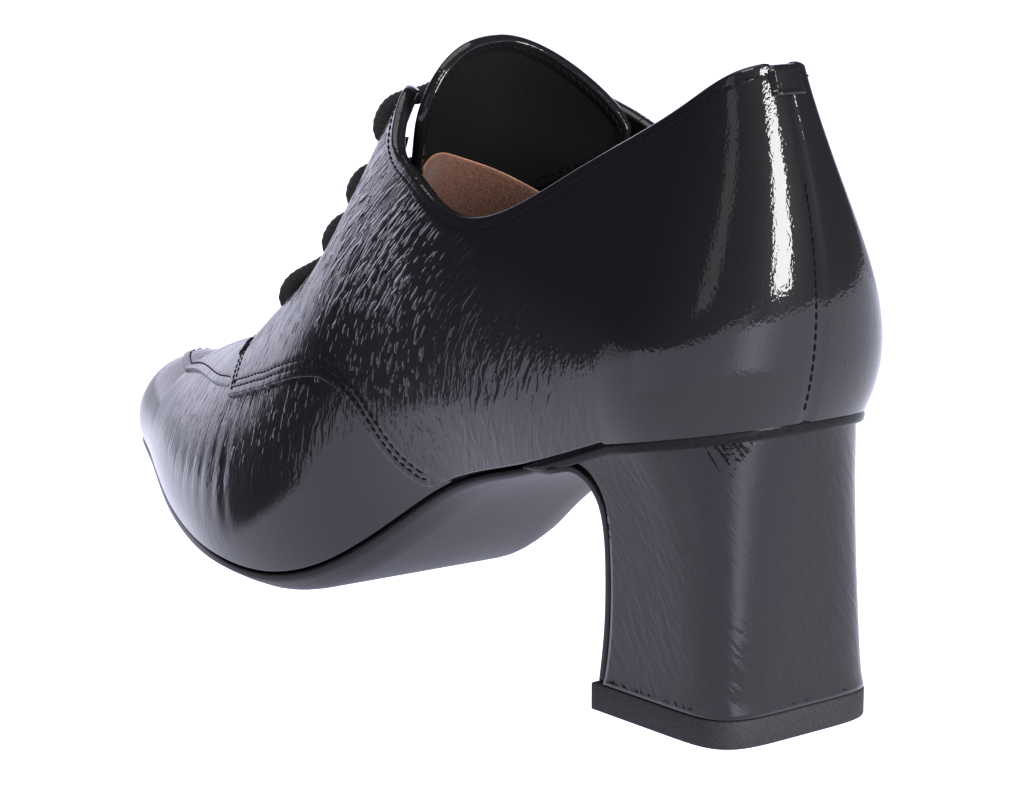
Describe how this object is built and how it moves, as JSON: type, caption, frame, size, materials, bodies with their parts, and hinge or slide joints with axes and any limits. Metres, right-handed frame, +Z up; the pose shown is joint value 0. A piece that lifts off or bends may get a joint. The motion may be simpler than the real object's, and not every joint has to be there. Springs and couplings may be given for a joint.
{
  "type": "lace-up shoe",
  "caption": "Left lace-up court shoe in crinkled black patent leather, with a pointed toe, raised apron, low collar, tall tongue and a flared block heel.",
  "frame": {"origin": "centre of the bounding box, on the floor", "axes": "+Z up, -Y towards the toe, +X towards the wearer's left, which is the outer side"},
  "size_m": [0.0734, 0.2566, 0.1221],
  "materials": {
    "patent_leather": "glossy crinkled patent",
    "heel_cover": "glossy patent cover",
    "tongue_leather": "matt leather, patent bound",
    "insole_leather": "matt suede",
    "outsole": "smooth satin",
    "top_lift": "matt",
    "lace": "round woven cord"
  },
  "bodies": {
    "root": {"upper": "patent_leather", "quarters": "patent_leather", "apron": "patent_leather", "heel_tab": "patent_leather", "tongue": "tongue_leather", "insole": "insole_leather", "outsole": "outsole", "heel": "heel_cover", "top_lift": "top_lift", "lace_bar_1": "lace", "lace_bar_2": "lace", "lace_bar_3": "lace", "lace_bar_4": "lace"}
  },
  "joints": []
}
